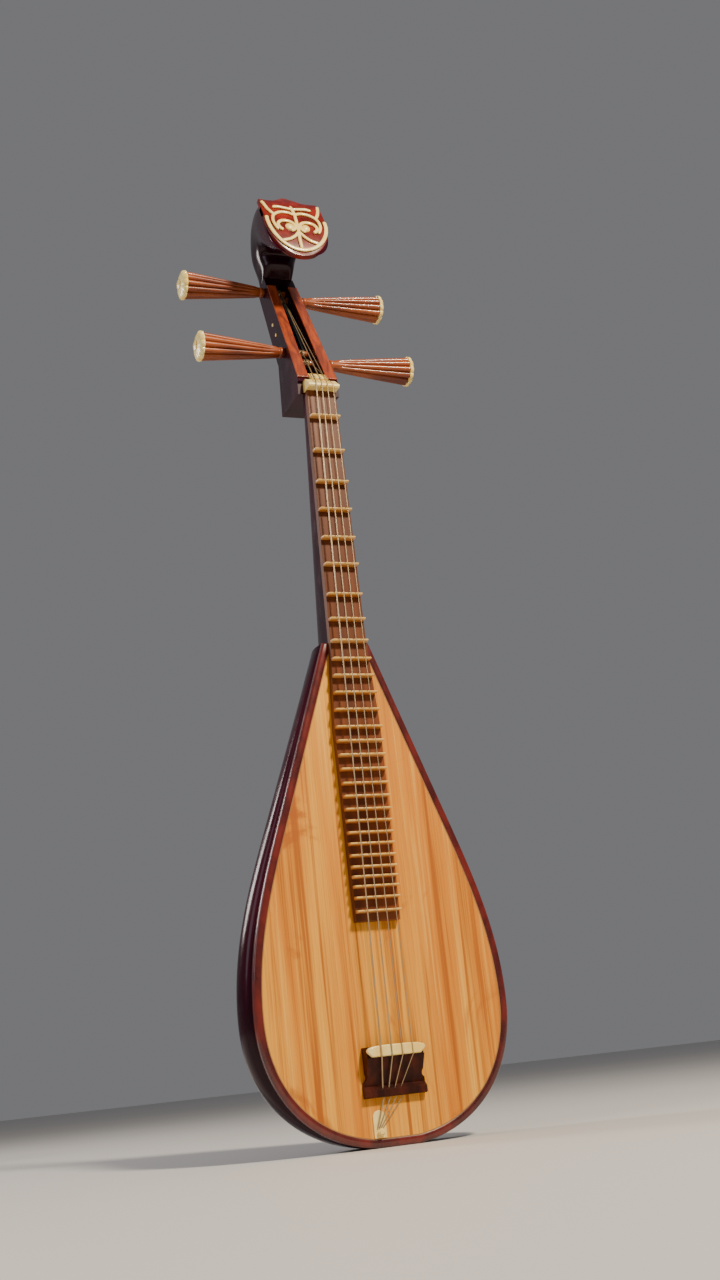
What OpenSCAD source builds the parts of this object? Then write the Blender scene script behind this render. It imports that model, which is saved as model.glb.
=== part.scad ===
// Pear-shaped plucked lute: four strings, a raised fingerboard with thin tall frets,
// a bent-back peg box with four fluted pegs and a hooked head with a bone ornament.
// The neck stands along +Z, the soundboard faces -Y, and the origin is the middle of the
// small flat at the bottom end of the body.

/* [Strings] */
// Length of the strings from nut to bridge
string_length = 712; // [600:1:740]
// Height of the bridge's string line above the bottom of the body
bridge_z = 93; // [88:1:110]
// Height of the strings in front of the soundboard
string_height = 19.5; // [18.5:0.1:24]
// Spacing of neighbouring strings at the nut
nut_spacing = 6.6; // [5.5:0.1:6.9]
// Spacing of neighbouring strings at the bridge
bridge_spacing = 11.2; // [9:0.1:13]
// Radius of the thinnest string
thin_string_r = 0.45; // [0.3:0.05:0.6]
// How much each next string is thicker in radius
string_step_r = 0.1; // [0:0.01:0.12]

/* [Body] */
// Length of the body from its bottom end to the shoulder
body_length = 513; // [470:1:530]
// Greatest width of the body over its binding
body_width = 272; // [240:1:310]
// Height of the widest place above the bottom
widest_z = 135; // [115:1:160]
// Width of the body at the shoulder
shoulder_width = 52; // [50:1:68]
// Depth of the body from soundboard to back
body_depth = 70; // [60:1:85]
// Wall of the carved back shell
shell_wall = 6; // [4:0.5:7]
// How far the shell swells beyond the binding
shell_bulge = 10; // [4:1:14]
// Thickness of the soundboard
board_t = 6; // [4:0.5:8]
// Width of the dark binding around the soundboard
binding_w = 8; // [6:0.5:10]
// Width of the pale line between binding and soundboard
purfling_w = 1; // [0.8:0.1:1.6]

/* [Neck and fingerboard] */
// Width of the fingerboard at the nut
nut_w = 34; // [32:0.5:38]
// Width of the fingerboard where the neck meets the body
neck_w = 41; // [38:0.5:46]
// Width of the fingerboard at its widest, over the body
heel_w = 52; // [48:0.5:55]
// Width of the fingerboard at its lower end
end_w = 48; // [44:0.5:53]
// Thickness of the fingerboard
fingerboard_t = 8; // [6:0.5:9]
// Depth of the neck behind the fingerboard at the nut
neck_depth_nut = 16; // [14:0.5:20]
// Depth of the neck behind the fingerboard at the shoulder
neck_depth_heel = 44; // [36:0.5:48]
// Number of frets
fret_count = 29; // [24:1:29]
// Length of fingerboard left below the last fret
board_tail = 10; // [6:1:20]
// Height of a fret above the fingerboard
fret_h = 8.4; // [6:0.1:9]
// Thickness of a fret where it stands on the fingerboard
fret_foot = 3.6; // [3:0.1:4.5]
// Thickness of a fret at its crown
fret_crown = 1.4; // [1:0.1:2]

/* [Peg box] */
// Angle at which the peg box leans back from the neck
pegbox_tilt = 26.8; // [20:0.1:30]
// Length of the peg box
pegbox_length = 205; // [200:1:215]
// Width of the peg box at the nut
pegbox_w_low = 48; // [46:0.5:54]
// Width of the peg box at the head
pegbox_w_high = 37; // [36:0.5:42]
// Width of the string slot at the nut
slot_w_low = 21; // [20:0.5:22]
// Width of the string slot at the head
slot_w_high = 15; // [14.5:0.5:16]
// Depth of the string slot
slot_depth = 29; // [28:0.5:31]
// Thickness of the rosewood facings on the two cheeks
facing_t = 2; // [1.5:0.1:3]

/* [Pegs] */
// Radius of a peg where it turns in the near cheek
peg_near_r = 5; // [4.5:0.1:5.5]
// Radius of a peg where its tip turns in the far cheek
peg_far_r = 4; // [3.6:0.1:4.4]
// Radial clearance of a peg in its two bores
peg_clearance = 0.05; // [0.02:0.01:0.08]
// Length of the fluted grip
grip_length = 96; // [80:1:110]
// Radius of the grip at its outer end
grip_r = 16.5; // [14:0.5:19]
// Radius of the grip where it meets the collar
grip_small_r = 6.5; // [6:0.1:7.5]
// Height of the domed bone cap on a peg
cap_h = 9; // [7:0.5:12]

/* [Head] */
// Width of the ornamented face of the head
face_w = 79; // [72:1:86]
// Height of the ornamented face of the head
face_h = 104; // [94:1:110]
// Thickness of the red panel in the face
panel_t = 3; // [2:0.5:4]
// Thickness of the bone openwork on the panel
ornament_t = 2.4; // [2:0.2:3]
// Width of the bone lines in the ornament
line_w = 4; // [3.6:0.2:4.6]

/* [Hidden] */
$fn = 48;
glue_gap = 0.1;
inside_gap = 0.4;
string_gap = 0.06;

// Places along the depth: the front of the soundboard, its back and the fingerboard's top.
front_y = -30;
board_back = front_y + board_t;
finger_y = front_y - fingerboard_t;
fret_top_y = finger_y - fret_h;
string_y = front_y - string_height;
nut_z = bridge_z + string_length;
neck_frets = 8;
upper_frets = 14;

function lerp(a, b, t) = a + (b - a) * t;
function bezier(a, b, c, d, t) = a * pow(1 - t, 3) + b * 3 * t * pow(1 - t, 2)
    + c * 3 * t * t * (1 - t) + d * pow(t, 3);

// Outline of the body, right half from the shoulder down to the bottom flat, as [x, z].
half_w = body_width / 2;
shoulder = [shoulder_width / 2, body_length];
flank = [half_w * 0.636, lerp(widest_z, body_length, 0.548)];
bottom_cut = 1.2;
bottom_power = 2.2;
flank_slope = (flank[0] - shoulder[0]) / (shoulder[1] - flank[1]);
flank_pull = 72;
belly_pull = 74;
cut_angle = acos(pow(widest_z / (widest_z + bottom_cut), bottom_power / 2));
function belly(a) = [half_w * pow(cos(a), 2 / bottom_power),
    widest_z - (widest_z + bottom_cut) * pow(sin(a), 2 / bottom_power)];
outline_points = concat(
    [for (t = [0 : 0.25 : 0.9]) lerp(shoulder, flank, t)],
    [for (t = [0 : 0.125 : 0.99]) bezier(flank, flank + [flank_slope, -1] * flank_pull,
        [half_w, widest_z + belly_pull], [half_w, widest_z], t)],
    [for (a = [0 : 7.5 : 82]) belly(a)],
    [belly(90 - cut_angle)]);
last_point = len(outline_points) - 1;
function unit(v) = v / norm(v);
function outward(i) = let(
    a = outline_points[max(i - 1, 0)],
    b = outline_points[min(i + 1, last_point)],
    d = unit(b - a)) [-d[1], d[0]];
// The same right half, moved inward by an inset and kept inside the shoulder and the flat.
function half_outline(inset) = [for (i = [0 : last_point])
    let(p = outline_points[i] - outward(i) * inset)
    [max(p[0], 1), i == 0 ? body_length - inset : i == last_point ? inset
        : min(max(p[1], inset), body_length - inset)]];
function full_outline(inset) = let(h = half_outline(inset)) concat(h,
    [for (i = [last_point : -1 : 0]) [-h[i][0], h[i][1]]]);
function half_at(z, inset) = lookup(z, [for (p = half_outline(inset)) [p[1], p[0]]]);

// Depth of the shell behind the soundboard's back, along the body.
shell_depth = body_depth - board_t;
tail_depth = shell_depth * 0.7;
tail_round = 105;
heel_depth = neck_depth_heel + 2;
function depth_at(z) = z < tail_round
    ? tail_depth + (shell_depth - tail_depth) * sqrt(1 - pow(1 - z / tail_round, 2))
    : lerp(shell_depth, heel_depth, pow((z - tail_round) / (body_length - tail_round), 1.6));
section_power = 3.4;
section_steps = 24;
function shell_ring(w, d, z) = let(swell = shell_bulge / half_w)
    [for (k = [0 : section_steps])
        let(a = 180 * k / section_steps,
            y = d * pow(max(sin(a), 0), 2 / section_power),
            c = cos(a),
            x = sign(c) * w * pow(abs(c), 2 / section_power),
            out = 1 + swell * sin(90 * min(1, y / (0.35 * d))))
        [x * out, board_back + y, z]];
module loft(rings) {
    n = len(rings[0]);
    m = len(rings);
    polyhedron(
        points = [for (r = rings) each r],
        faces = concat(
            [[for (k = [0 : n - 1]) k]],
            [for (j = [0 : m - 2]) each [for (k = [0 : n - 1])
                each [[j * n + k, (j + 1) * n + k, (j + 1) * n + (k + 1) % n],
                    [j * n + k, (j + 1) * n + (k + 1) % n, j * n + (k + 1) % n]]]],
            [[for (k = [n - 1 : -1 : 0]) (m - 1) * n + k]]),
        convexity = 4);
}
module slab(points, y_low, y_high) {
    translate([0, y_high, 0]) rotate([90, 0, 0])
        linear_extrude(y_high - y_low) polygon(points);
}
module side_slab(points, half) {
    rotate([90, 0, 90]) translate([0, 0, -half]) linear_extrude(2 * half) polygon(points);
}

module shell_solid(inset, depth_less) {
    h = half_outline(inset);
    loft([for (i = [last_point : -1 : 0])
        shell_ring(h[i][0], depth_at(h[i][1]) - depth_less, h[i][1])]);
}
tenon = [20, 18, 34];
tenon_gap = 0.2;
tenon_y = board_back + 9;
module tenon_cut() {
    translate([-tenon[0] / 2 - tenon_gap, tenon_y - tenon_gap, body_length - tenon[2] - tenon_gap])
        cube([tenon[0] + 2 * tenon_gap, tenon[1] + 2 * tenon_gap, tenon[2] + 10]);
}
module back_shell() {
    color([0.09, 0.02, 0.02]) difference() {
        shell_solid(0, 0);
        translate([0, -glue_gap, 0]) shell_solid(shell_wall, shell_wall);
        tenon_cut();
    }
}
board_inset = binding_w + purfling_w;
module soundboard() {
    color([0.86, 0.66, 0.38]) slab(full_outline(board_inset), front_y, board_back);
}
module edge_binding() {
    color([0.4, 0.06, 0.03]) difference() {
        slab(full_outline(0), front_y, board_back);
        slab(full_outline(binding_w), front_y - 1, board_back + 1);
    }
}
module purfling() {
    color([0.9, 0.8, 0.6]) difference() {
        slab(full_outline(binding_w), front_y, board_back);
        slab(full_outline(board_inset), front_y - 1, board_back + 1);
    }
}
lining_w = 7;
lining_t = 7;
module rim_lining() {
    outer = shell_wall + inside_gap;
    color([0.75, 0.6, 0.4]) difference() {
        slab(full_outline(outer), board_back, board_back + lining_t);
        slab(full_outline(outer + lining_w), board_back - 1, board_back + lining_t + 1);
    }
}
block_inset = shell_wall + lining_w + 2 * inside_gap;
neck_block_l = 62;
module neck_block() {
    top = body_length - block_inset;
    low = top - neck_block_l;
    color([0.72, 0.55, 0.35]) difference() {
        slab([[-half_at(low, block_inset), low], [half_at(low, block_inset), low],
            [half_at(top, block_inset), top], [-half_at(top, block_inset), top]],
            board_back, board_back + 30);
        tenon_cut();
    }
}
tail_block_h = 22;
tail_rise = 5;
module tail_block() {
    low = block_inset + tail_rise;
    foot = half_at(low, block_inset) - tail_rise;
    color([0.72, 0.55, 0.35]) slab(
        [[-foot, low], [foot, low], [foot, low + tail_block_h], [-foot, low + tail_block_h]],
        board_back, board_back + 32);
}
brace_t = 9;
brace_h = 14;
module brace(z) {
    reach = half_at(z, block_inset) - 2;
    translate([-reach, board_back, z - brace_t / 2]) cube([2 * reach, brace_h, brace_t]);
}
module brace_upper() { color([0.82, 0.68, 0.45]) brace(lerp(widest_z, body_length, 0.6)); }
module brace_middle() { color([0.82, 0.68, 0.45]) brace(lerp(widest_z, body_length, 0.3)); }
module brace_lower() { color([0.82, 0.68, 0.45]) brace(widest_z + 30); }
post_r = 4;
module sound_post() {
    z = widest_z + 62;
    length = depth_at(z) - shell_wall - 2 * inside_gap;
    color([0.82, 0.68, 0.45]) translate([0, board_back, z]) rotate([-90, 0, 0])
        cylinder(r = post_r, h = length);
}

// Places of the frets above the bridge as shares of the string length, as set by ear.
fret_share = [0.954, 0.896, 0.844, 0.798, 0.752, 0.709, 0.661, 0.622, 0.588, 0.560, 0.534,
    0.508, 0.482, 0.456, 0.435, 0.414, 0.393, 0.372, 0.353, 0.334, 0.317, 0.300, 0.284, 0.267,
    0.251, 0.237, 0.223, 0.207, 0.188];
function fret_z(i) = bridge_z + string_length * fret_share[i - 1];

// The fingerboard's half width at a height: widest where it reaches the body.
heel_z = nut_z - string_length * 0.545;
board_end_z = fret_z(fret_count) - board_tail;
function finger_half(z) = z > body_length
    ? lerp(neck_w, nut_w, (z - body_length) / (nut_z - body_length)) / 2
    : z > heel_z
    ? lerp(heel_w, neck_w, (z - heel_z) / (body_length - heel_z)) / 2
    : lerp(end_w, heel_w, (z - board_end_z) / (heel_z - board_end_z)) / 2;
module fingerboard() {
    top = nut_z;
    color([0.35, 0.17, 0.09]) slab(
        [[finger_half(board_end_z), board_end_z], [finger_half(heel_z), heel_z],
        [finger_half(body_length), body_length], [finger_half(top), top],
        [-finger_half(top), top], [-finger_half(body_length), body_length],
        [-finger_half(heel_z), heel_z], [-finger_half(board_end_z), board_end_z]],
        finger_y, front_y);
}
neck_top = nut_z - 2;
neck_steps = 10;
function neck_ring(z) = let(
    t = (z - body_length) / (neck_top - body_length),
    w = finger_half(z) - 0.4,
    d = lerp(neck_depth_heel + board_t, neck_depth_nut, t))
    [for (k = [0 : 16]) let(a = 180 * k / 16, c = cos(a))
        [w * sign(c) * pow(abs(c), 0.62), front_y + d * pow(max(sin(a), 0), 0.62), z]];
module neck() {
    color([0.07, 0.02, 0.02]) union() {
        loft([for (j = [0 : neck_steps])
            neck_ring(lerp(body_length + glue_gap, neck_top, j / neck_steps))]);
        translate([-tenon[0] / 2, tenon_y, body_length - tenon[2]])
            cube([tenon[0], tenon[1], tenon[2] + 5]);
    }
}

// Each fret is a tapered blade across the fingerboard, a little narrower than it.
module fret(i) {
    color([0.9, 0.78, 0.5]) translate([0, 0, fret_z(i)]) side_slab(
        [[finger_y, -fret_foot / 2], [fret_top_y + 0.6, -fret_crown / 2 - 0.25],
        [fret_top_y, -fret_crown / 4], [fret_top_y, fret_crown / 4],
        [fret_top_y + 0.6, fret_crown / 2 + 0.25], [finger_y, fret_foot / 2]],
        finger_half(fret_z(i)) - 0.2);
}
module upper_body_frets() { for (i = [neck_frets + 1 : upper_frets]) fret(i); }
module lower_body_frets() { for (i = [upper_frets + 1 : fret_count]) fret(i); }

// The peg box has its own frame: w runs up along it and v runs back into it.
box_y = front_y - 4.8;
box_z = nut_z + 14;
module in_box() { translate([0, box_y, box_z]) rotate([-pegbox_tilt, 0, 0]) children(); }
function from_box(x, v, w) = [x,
    box_y + v * cos(pegbox_tilt) + w * sin(pegbox_tilt),
    box_z - v * sin(pegbox_tilt) + w * cos(pegbox_tilt)];
function box_half(w) = lerp(pegbox_w_low, pegbox_w_high, w / pegbox_length) / 2;
function slot_half(w) = lerp(slot_w_low, slot_w_high, w / pegbox_length) / 2;
box_depth_low = 36;
box_depth_high = 28;
heel_y = front_y + 60;
heel_low_z = nut_z - 2 + glue_gap;
slot_low = 16;
slot_high = pegbox_length - 5;
throat_w = pegbox_length - 18;
facing_low = 6;
peg_v = 15;
peg_w = [70, 192, 178, 52];
peg_side = [-1, -1, 1, 1];
module box_front_shape(low, high, half_low, half_high, v_low, v_high) {
    translate([0, v_high, 0]) rotate([90, 0, 0]) linear_extrude(v_high - v_low)
        polygon([[-half_low, low], [half_low, low], [half_high, high], [-half_high, high]]);
}
module peg_bores() {
    for (i = [0 : 3]) translate([0, peg_v, peg_w[i]]) rotate([0, 90 * peg_side[i], 0]) {
        cylinder(r = peg_near_r + peg_clearance, h = pegbox_w_low);
        translate([0, 0, -far_reach(i)]) cylinder(r = peg_far_r + peg_clearance, h = far_reach(i));
    }
}
function far_reach(i) = box_half(peg_w[i]) - 3;
cover_t = 4;
cover_sink = 0.5;
cover_low = 70;
module pegbox() {
    back_low = from_box(0, box_depth_low, 78);
    back_high = from_box(0, box_depth_high, pegbox_length);
    top_front = from_box(0, facing_t, pegbox_length);
    foot_front = from_box(0, facing_t, 0);
    color([0.08, 0.02, 0.02]) difference() {
        intersection() {
            side_slab([[foot_front[1], foot_front[2]], [top_front[1], top_front[2]],
                [back_high[1], back_high[2]], [back_low[1], back_low[2]],
                [heel_y, back_low[2] - 4], [heel_y, heel_low_z], [front_y, heel_low_z],
                [front_y, foot_front[2] - 1]], pegbox_w_low);
            in_box() box_front_shape(-60, pegbox_length + 60, box_half(-60),
                box_half(pegbox_length + 60), -50, 150);
        }
        in_box() {
            box_front_shape(slot_low, slot_high, slot_half(slot_low), slot_half(slot_high),
                -10, slot_depth);
            box_front_shape(cover_low, slot_high, slot_half(cover_low), slot_half(slot_high),
                slot_depth - 1, box_depth_low + 20);
            peg_bores();
        }
    }
}
module facing(side) {
    color([0.4, 0.12, 0.06]) in_box() mirror([side < 0 ? 1 : 0, 0, 0])
        translate([0, facing_t - glue_gap / 2, 0]) rotate([90, 0, 0])
        linear_extrude(facing_t - glue_gap / 2)
        polygon([[slot_half(facing_low), facing_low], [box_half(facing_low), facing_low],
            [box_half(throat_w), throat_w], [slot_half(throat_w), throat_w]]);
}
module pegbox_facing_left() { facing(-1); }
module pegbox_facing_right() { facing(1); }
function cover_half_at(w) = slot_half(w) - inside_gap / 2;
module pegbox_back_cover() {
    low = cover_low + inside_gap;
    high = slot_high - inside_gap;
    color([0.1, 0.03, 0.02]) in_box()
        box_front_shape(low, high, cover_half_at(low), cover_half_at(high),
            box_depth_high - cover_t, box_depth_high - cover_sink);
}
cover_pin_r = 2;
cover_pin_h = 1;
module cover_pins() {
    color([0.9, 0.84, 0.68]) in_box() for (w = [cover_low + 10, slot_high - 10])
        translate([0, box_depth_high - cover_sink, w]) rotate([-90, 0, 0])
            cylinder(r = cover_pin_r, h = cover_pin_h);
}
inlay_r = 2;
inlay_t = 0.8;
module cheek_inlays() {
    color([0.93, 0.86, 0.68]) in_box() for (s = [-1, 1]) for (w = [108, 128])
        translate([s * (box_half(w - inlay_r) + glue_gap / 2), 17, w]) rotate([0, 90 * s, 0])
            cylinder(r = inlay_r, h = inlay_t);
}

// Nut: a bone wedge that carries the strings from the fingerboard to the peg box.
nut_crest_y = string_y;
nut_edge = 1.4;
nut_crest_low = 1.6;
nut_crest_high = 3.4;
nut_back = 5;
module nut() {
    seat = from_box(0, facing_t, 0);
    color([0.93, 0.85, 0.65]) side_slab(
        [[front_y, nut_z + glue_gap], [nut_crest_y + nut_edge, nut_z + glue_gap],
        [nut_crest_y, nut_z + nut_crest_low], [nut_crest_y, nut_z + nut_crest_high],
        [seat[1] - nut_back, seat[2] - glue_gap], [seat[1], seat[2] - glue_gap],
        [front_y, seat[2] - 1 - glue_gap]], nut_w / 2 + 1);
}

// Head: a hook lofted from the peg box up, over and forward to the ornamented face.
face_tilt = 15.5;
face_center = [front_y + 17.5, nut_z + 221];
head_start = from_box(0, (facing_t + box_depth_high) / 2, pegbox_length + glue_gap);
head_start_t = (box_depth_high - facing_t) / 2;
head_path = [
    // depth, height, half width, half thickness, lean of the section from level
    [head_start[1], head_start[2], box_half(pegbox_length), head_start_t, -pegbox_tilt],
    [front_y + 96, nut_z + 205, 20, 20, -8],
    [front_y + 97, nut_z + 226, 25, 23, 12],
    [front_y + 85, nut_z + 241, 29, 30, 42],
    [front_y + 66, nut_z + 244, 33, 36, 64],
    [front_y + 43, nut_z + 237, 36.5, 42, 75],
    [face_center[0] + 1, face_center[1] + 3, 38.5, 46.5, 90 - face_tilt]];
head_power = 3.2;
head_points = 40;
function spline(points, t) = let(
    n = len(points) - 1,
    i = min(floor(t), n - 1),
    u = t - i,
    a = points[max(i - 1, 0)],
    b = points[i],
    c = points[i + 1],
    d = points[min(i + 2, n)])
    (2 * b + (c - a) * u + (2 * a - 5 * b + 4 * c - d) * u * u
        + (3 * b - 3 * c + d - a) * u * u * u) / 2;
function head_ring(s) = [for (k = [0 : head_points - 1])
    let(a = 360 * k / head_points, c = cos(a), n = sin(a),
        x = s[2] * sign(c) * pow(abs(c), 2 / head_power),
        q = s[3] * sign(n) * pow(abs(n), 2 / head_power))
    [x, s[0] + q * cos(s[4]), s[1] + q * sin(s[4])]];
module head() {
    color([0.07, 0.02, 0.02])
        loft([for (t = [0 : 0.5 : len(head_path) - 1]) head_ring(spline(head_path, t))]);
}
// The face has its own frame: x across, z up the face, and y into the head.
module on_face() {
    translate([0, face_center[0], face_center[1]]) rotate([-face_tilt, 0, 0]) children();
}
face_half = face_w / 2;
face_low = face_h * 0.46;
// Shield outline of the face: round below, with two ears and a peak above.
function shield(inset) = concat(
    [for (a = [180 : 12 : 360]) [(face_half - inset) * cos(a), (face_low - inset) * sin(a)]],
    [[face_half - inset, face_h * 0.3], [face_half * 0.94 - inset, face_h * 0.44 - inset],
    [face_half * 0.45, face_h * 0.39 - inset], [0, face_h * 0.54 - inset],
    [-face_half * 0.45, face_h * 0.39 - inset],
    [-face_half * 0.94 + inset, face_h * 0.44 - inset], [-face_half + inset, face_h * 0.3]]);
module head_panel() {
    color([0.45, 0.03, 0.02]) on_face() slab(shield(1.5), -panel_t, 0);
}
// A bone line of one width through chosen points, mitred at every point.
function line_side(p, k) = let(
    n = len(p) - 1,
    a = unit(p[min(k + 1, n)] - p[min(k, n - 1)]),
    b = unit(p[max(k, 1)] - p[max(k - 1, 0)]),
    m = unit(a + b))
    [-m[1], m[0]] / max(m * a, 0.5);
module bone_line(p, w = line_w) {
    polygon(concat([for (k = [0 : len(p) - 1]) p[k] + line_side(p, k) * w / 2],
        [for (k = [len(p) - 1 : -1 : 0]) p[k] - line_side(p, k) * w / 2]));
}
function arc_points(c, rx, ry, a, b, n = 10) =
    [for (k = [0 : n]) c + [rx * cos(lerp(a, b, k / n)), ry * sin(lerp(a, b, k / n))]];
eye = [11.5, -4];
eye_r = 7.5;
rim_half = face_half - 2.6;
thin_line = line_w * 0.8;
ear = [face_half * 0.86, face_h * 0.36];
module ornament_half() {
    bone_line(arc_points([0, 6], rim_half, face_low - 3, 270, 372, 14));
    bone_line(arc_points(eye, eye_r, eye_r * 0.8, -60, 250, 14), thin_line);
    bone_line(arc_points([0, 6], face_half * 0.62, face_h * 0.2, 20, 88, 8), thin_line);
    bone_line([[0, -6], [8, -16], [20, -23], [27, -27]], thin_line);
    bone_line([[face_half * 0.6, 12], ear], thin_line);
    bone_line([[0, 25], [face_half * 0.5, face_h * 0.33], ear], thin_line);
}
module head_ornament() {
    color([0.95, 0.87, 0.68]) on_face() translate([0, -panel_t - glue_gap, 0]) rotate([90, 0, 0])
        linear_extrude(ornament_t) {
            ornament_half();
            mirror([1, 0]) ornament_half();
            bone_line([[0, -face_low + 4], [0, 27]], line_w * 0.9);
        }
}
module head_eyes() {
    color([0.96, 0.9, 0.75]) on_face() for (s = [-1, 1])
        translate([s * eye[0], -panel_t - glue_gap, eye[1]]) rotate([90, 0, 0])
            cylinder(r1 = eye_r * 0.45, r2 = eye_r * 0.3, h = ornament_t);
}

// Pegs: string 1 and 2 on the left, 3 and 4 on the right, two journals in the cheeks each.
collar_l = 6;
// How far each peg's collar stands off its cheek.
peg_stand = [1, 1, 8, 7];
function peg_root(i) = box_half(peg_w[i]) + peg_stand[i];
function near_inner(i) = slot_half(peg_w[i]) - 0.4;
module at_peg(i) {
    in_box() translate([0, peg_v, peg_w[i]]) rotate([0, 90 * peg_side[i], 0]) children();
}
module peg(i) {
    color([0.42, 0.16, 0.09]) at_peg(i) {
        translate([0, 0, near_inner(i)])
            cylinder(r = peg_near_r, h = peg_root(i) - near_inner(i) + 1);
        translate([0, 0, -far_reach(i) + 0.5])
            cylinder(r = peg_far_r, h = near_inner(i) + far_reach(i));
        translate([0, 0, peg_root(i)])
            cylinder(r1 = peg_near_r + 0.6, r2 = grip_small_r, h = collar_l);
        translate([0, 0, peg_root(i) + collar_l])
            cylinder(r1 = grip_small_r, r2 = grip_r, h = grip_length - collar_l);
    }
}
module peg_cap(i) {
    color([0.93, 0.85, 0.62]) at_peg(i) translate([0, 0, peg_root(i) + grip_length + glue_gap])
        rotate_extrude() polygon([[0, 0], [grip_r * 1.05, 0], [grip_r * 1.08, cap_h * 0.28],
            [grip_r * 0.96, cap_h * 0.52], [grip_r * 0.7, cap_h * 0.72],
            [grip_r * 0.32, cap_h * 0.82], [grip_r * 0.28, cap_h], [0, cap_h * 1.08]]);
}
winding_t = 1.3;
winding_l = 7;
winding_offset = 0.6;
winding_spacing = 1.2;
module winding(i) {
    color([0.8, 0.75, 0.62]) at_peg(i) translate([0, 0, winding_offset - winding_l / 2])
        difference() {
            cylinder(r = peg_far_r + winding_t, h = winding_l);
            translate([0, 0, -1]) cylinder(r = peg_far_r + 0.02, h = winding_l + 2);
        }
}

// Strings: from the front of the winding over the nut, over the bridge cap, through the
// foot of the bridge block and on to the hitch pin.
string_r = [for (i = [0 : 3]) thin_string_r + string_step_r * (3 - i)];
cap_low_z = bridge_z - 8;
cap_front_y = string_y + 0.9;
hitch = [-19, 15];
foot_z = bridge_z - 46;
foot_lip = 7;
foot_y = front_y - 4;
foot_spacing = 8;
hitch_r = 2;
guard_t = 1.2;
foot_hole_r = 1.4;
function row(i) = i - 1.5;
function foot_x(i) = lerp(hitch[0], row(i) * foot_spacing, 0.82);
function string_path(i) = let(r = string_r[i],
    start = from_box(row(i) * winding_spacing, peg_v - peg_far_r - winding_t - r, peg_w[i] - 2))
    [start,
    [row(i) * nut_spacing, nut_crest_y - r - string_gap, nut_z + nut_crest_high + r / 2],
    [row(i) * bridge_spacing, cap_front_y - r - string_gap, bridge_z],
    [row(i) * bridge_spacing, cap_front_y - r - string_gap, cap_low_z],
    [foot_x(i), foot_y, foot_z + foot_lip + 1.5],
    [foot_x(i), foot_y, foot_z - 1.5],
    [hitch[0] + row(i) * 1.9, front_y - guard_t - r - string_gap, hitch[1] + hitch_r + r + 1.2]];
// A ring of a string, square to the middle of the two stretches that meet there.
string_sides = 8;
function string_ring(p, k, r) = let(
    a = unit(p[min(k + 1, len(p) - 1)] - p[min(k, len(p) - 2)]),
    b = unit(p[max(k, 1)] - p[max(k - 1, 0)]),
    d = unit(a + b),
    u = unit(cross(d, [1, 0, 0])),
    v = cross(d, u))
    [for (s = [0 : string_sides - 1]) let(g = 360 * (s + 0.5) / string_sides)
        p[k] + (u * cos(g) - v * sin(g)) * r];
module string(i) {
    p = string_path(i);
    color([0.8, 0.74, 0.6]) loft([for (k = [0 : len(p) - 1]) string_ring(p, k, string_r[i])]);
}

// Bridge: a dark block that slopes from the bone cap down to a drilled foot.
block_half_top = 30;
block_half_foot = 33;
block_top_z = bridge_z + 2;
notch_r = 5;
module bridge_block() {
    color([0.16, 0.05, 0.03]) difference() {
        intersection() {
            side_slab([[front_y - glue_gap, block_top_z], [cap_front_y + 5, block_top_z],
                [cap_front_y + 5, cap_low_z], [cap_front_y + 2.5, cap_low_z - 0.5],
                [foot_y + 1.8, foot_z + foot_lip + 4], [foot_y - 3, foot_z + foot_lip],
                [foot_y - 3, foot_z + 1], [foot_y - 1, foot_z], [front_y - glue_gap, foot_z]], 50);
            slab([[-block_half_foot, foot_z], [block_half_foot, foot_z],
                [block_half_foot, foot_z + 12], [block_half_top, foot_z + 24],
                [block_half_top, block_top_z], [-block_half_top, block_top_z],
                [-block_half_top, foot_z + 24], [-block_half_foot, foot_z + 12]],
                front_y - 30, front_y + 1);
        }
        for (s = [-1, 1]) translate([s * (block_half_foot + 1), front_y + 1, foot_z + 20])
            rotate([90, 0, 0]) cylinder(r = notch_r, h = 30);
        for (i = [0 : 3]) translate([foot_x(i), foot_y, foot_z - 1])
            cylinder(r = foot_hole_r, h = foot_lip + 4);
    }
}
cap_t = 5 - glue_gap;
cap_half = 31;
module bridge_cap() {
    top = bridge_z + 3 - cap_low_z;
    color([0.96, 0.87, 0.62]) slab(concat(
        [for (k = [-8 : 8]) let(u = k / 8) [cap_half * sin(90 * u),
            cap_low_z + 1 + (top - 1) * (1 - 0.45 * pow(abs(u), 3))]],
        [[cap_half, cap_low_z + 5], [cap_half - 5, cap_low_z], [-cap_half + 5, cap_low_z],
        [-cap_half, cap_low_z + 5]]),
        cap_front_y, cap_front_y + cap_t);
}
guard_w = 13;
guard_h = 26;
guard_low = 9.5;
module tail_guard() {
    r = guard_w / 2;
    arch = [for (a = [0 : 15 : 180]) [r * cos(a), guard_h - r + r * sin(a)]];
    color([0.95, 0.86, 0.64]) translate([hitch[0], 0, 0]) difference() {
        translate([0, 0, guard_low])
            slab(concat([[-r, 0], [r, 0]], arch), front_y - guard_t, front_y - glue_gap / 2);
        translate([0, front_y + 1, hitch[1]]) rotate([90, 0, 0])
            cylinder(r = hitch_r + inside_gap / 4, h = guard_t + 2);
    }
}
pin_h = 4;
pin_head = 1.6;
module hitch_pin() {
    color([0.92, 0.88, 0.78])
        translate([hitch[0], front_y - glue_gap / 2, hitch[1]]) rotate([90, 0, 0]) {
            cylinder(r = hitch_r, h = pin_h + 0.2);
            translate([0, 0, pin_h])
                cylinder(r1 = hitch_r + pin_head, r2 = hitch_r, h = pin_head);
        }
}

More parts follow.
